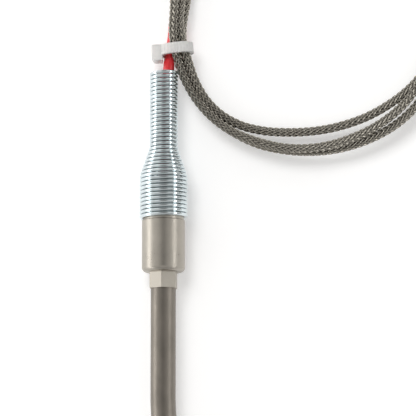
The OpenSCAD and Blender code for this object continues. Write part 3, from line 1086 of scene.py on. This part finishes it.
class THERMOCOUPLE_OT_stage(Operator):
    """Lay the floor, hang the lights and set up the camera"""

    bl_idname = "thermocouple.stage"
    bl_label = "Stage"
    bl_options = {"REGISTER", "UNDO"}

    def execute(self, context):
        stage = context.scene.thermocouple_stage
        self.floor(stage.glow)
        self.room(context.scene, stage)
        self.soft_light("window_light", WINDOW_LIGHT, stage.window)
        strip = self.soft_light("strip_light", STRIP_LIGHT, stage.strip)
        strip.visible_diffuse = False
        key = self.soft_light("key_light", KEY_LIGHT, stage.key)
        key.visible_glossy = False
        self.camera(context.scene, stage)
        return {"FINISHED"}

    @staticmethod
    def floor(glow):
        """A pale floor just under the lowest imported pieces, with a little light of its own."""
        gap = 0.02 * MM
        deselect()
        bpy.ops.mesh.primitive_plane_add(size=4, location=(0, 0, FLOOR_Z * MM - gap))
        floor = christen("floor")
        finish = Finish("pale_floor", roughness=0.9)
        grain = finish.noise(finish.place((40, 40, 40)), 1.0, 2.0)
        finish.tint(grain, (0.93, 0.93, 0.93), (0.95, 0.95, 0.95))
        finish.shader.inputs["Emission Color"].default_value = (1, 1, 1, 1)
        finish.shader.inputs["Emission Strength"].default_value = glow
        dress(floor, finish.material)

    @staticmethod
    def room(scene, stage):
        """A soft room with a dark patch overhead, lighter on the key light's side."""
        world = bpy.data.worlds.new("room")
        world.use_nodes = True
        tree = world.node_tree
        background = tree.nodes["Background"]
        background.inputs["Color"].default_value = (1.0, 0.99, 0.975, 1)

        def maths(kind, operation, source, *values):
            """Adds a maths node that takes a source first and then the given values."""
            node = tree.nodes.new(kind)
            node.operation = operation
            tree.links.new(source, node.inputs[0])
            for socket, value in zip(list(node.inputs)[1:], values):
                socket.default_value = value
            return node

        place = tree.nodes.new("ShaderNodeTexCoord").outputs["Generated"]
        patch_stretch, patch_shift = (1.25, 0.8, 0), (0, -0.4, 0)
        level = maths("ShaderNodeVectorMath", "MULTIPLY_ADD", place, patch_stretch, patch_shift)
        reach = maths("ShaderNodeVectorMath", "LENGTH", level.outputs["Vector"])
        grade = tree.nodes.new("ShaderNodeMapRange")
        grade.interpolation_type = "SMOOTHSTEP"
        patch = {"From Min": 0.24, "From Max": 0.58, "To Min": stage.ceiling, "To Max": stage.horizon}
        for key, value in patch.items():
            grade.inputs[key].default_value = value
        tree.links.new(reach.outputs["Value"], grade.inputs["Value"])
        key_side = (-0.5, 0.85, 0)
        side = maths("ShaderNodeVectorMath", "DOT_PRODUCT", place, key_side)
        slant = maths("ShaderNodeMath", "MULTIPLY_ADD", side.outputs["Value"], stage.slant)
        tree.links.new(grade.outputs["Result"], slant.inputs[2])
        tree.links.new(slant.outputs["Value"], background.inputs["Strength"])
        scene.world = world
        scene.view_settings.view_transform = "Standard"

    @staticmethod
    def soft_light(name, light_place, power):
        """A soft light, aimed at the middle of the object."""
        distance, direction, size = light_place
        height, turn = (math.radians(degrees) for degrees in direction)
        data = bpy.data.lights.new(name, "AREA")
        data.shape = "RECTANGLE"
        data.size, data.size_y = size
        data.energy = power
        light = bpy.data.objects.new(name, data)
        bpy.context.scene.collection.objects.link(light)
        away = Vector((-math.cos(height) * math.cos(turn), math.cos(height) * math.sin(turn),
                       math.sin(height)))
        light.location = LIGHTS_AIM + away * distance
        light.rotation_mode = "QUATERNION"
        light.rotation_quaternion = away.to_track_quat("Z", "Y")
        return light

    @staticmethod
    def camera(scene, stage):
        """A long lens, looking down on the pot, the spring and the start of the coil."""
        aim = Vector((10.63, 14.41, 0)) * MM
        data = bpy.data.cameras.new("camera")
        data.sensor_width = 36
        data.lens = 217
        camera = bpy.data.objects.new("camera", data)
        scene.collection.objects.link(camera)
        back = Vector((0, -math.cos(stage.elevation), math.sin(stage.elevation)))
        camera.location = aim + back * stage.distance
        camera.rotation_mode = "QUATERNION"
        camera.rotation_quaternion = back.to_track_quat("Z", "Y")
        scene.camera = camera


class THERMOCOUPLE_PT_pieces(Panel):
    """The pieces and sizes of the thermocouple"""

    bl_idname = "THERMOCOUPLE_PT_pieces"
    bl_label = "Thermocouple"
    bl_space_type = "VIEW_3D"
    bl_region_type = "UI"
    bl_category = "Thermocouple"

    def draw(self, context):
        layout = self.layout
        for heading, settings, operator in SECTIONS:
            box = layout.box()
            box.label(text=heading)
            if settings:
                group = getattr(context.scene, settings)
                for key in group.__annotations__:
                    box.prop(group, key)
            if operator:
                box.operator(operator)


SETTINGS = {
    "thermocouple_sheath": SheathSettings,
    "thermocouple_pot": PotSettings,
    "thermocouple_spring": SpringSettings,
    "thermocouple_lead": LeadSettings,
    "thermocouple_tie": TieSettings,
    "thermocouple_finish": FinishSettings,
    "thermocouple_stage": StageSettings,
}
SECTIONS = [
    ("Stage", "thermocouple_stage", "thermocouple.stage"),
    ("Lead", "thermocouple_lead", "thermocouple.lead"),
    ("Sheath", "thermocouple_sheath", "thermocouple.sheath"),
    ("Pot", "thermocouple_pot", "thermocouple.pot"),
    ("Spring", "thermocouple_spring", "thermocouple.spring"),
    ("Cable tie", "thermocouple_tie", "thermocouple.tie"),
    ("Inner parts", None, "thermocouple.inner_parts"),
    ("Finishes", "thermocouple_finish", None),
]
OPERATORS = (
    THERMOCOUPLE_OT_stage,
    THERMOCOUPLE_OT_lead,
    THERMOCOUPLE_OT_sheath,
    THERMOCOUPLE_OT_pot,
    THERMOCOUPLE_OT_spring,
    THERMOCOUPLE_OT_tie,
    THERMOCOUPLE_OT_inner_parts,
)
CLASSES = (*SETTINGS.values(), *OPERATORS, THERMOCOUPLE_PT_pieces)


def register():
    for made in CLASSES:
        bpy.utils.register_class(made)
    for name, group in SETTINGS.items():
        setattr(bpy.types.Scene, name, PointerProperty(type=group))


def unregister():
    for name in SETTINGS:
        delattr(bpy.types.Scene, name)
    for made in reversed(CLASSES):
        bpy.utils.unregister_class(made)


def main():
    register()
    bpy.ops.thermocouple.stage()
    bpy.ops.thermocouple.lead()
    bpy.ops.thermocouple.sheath()
    bpy.ops.thermocouple.pot()
    bpy.ops.thermocouple.spring()
    bpy.ops.thermocouple.tie()
    bpy.ops.thermocouple.inner_parts()


if __name__ == "__main__":
    main()
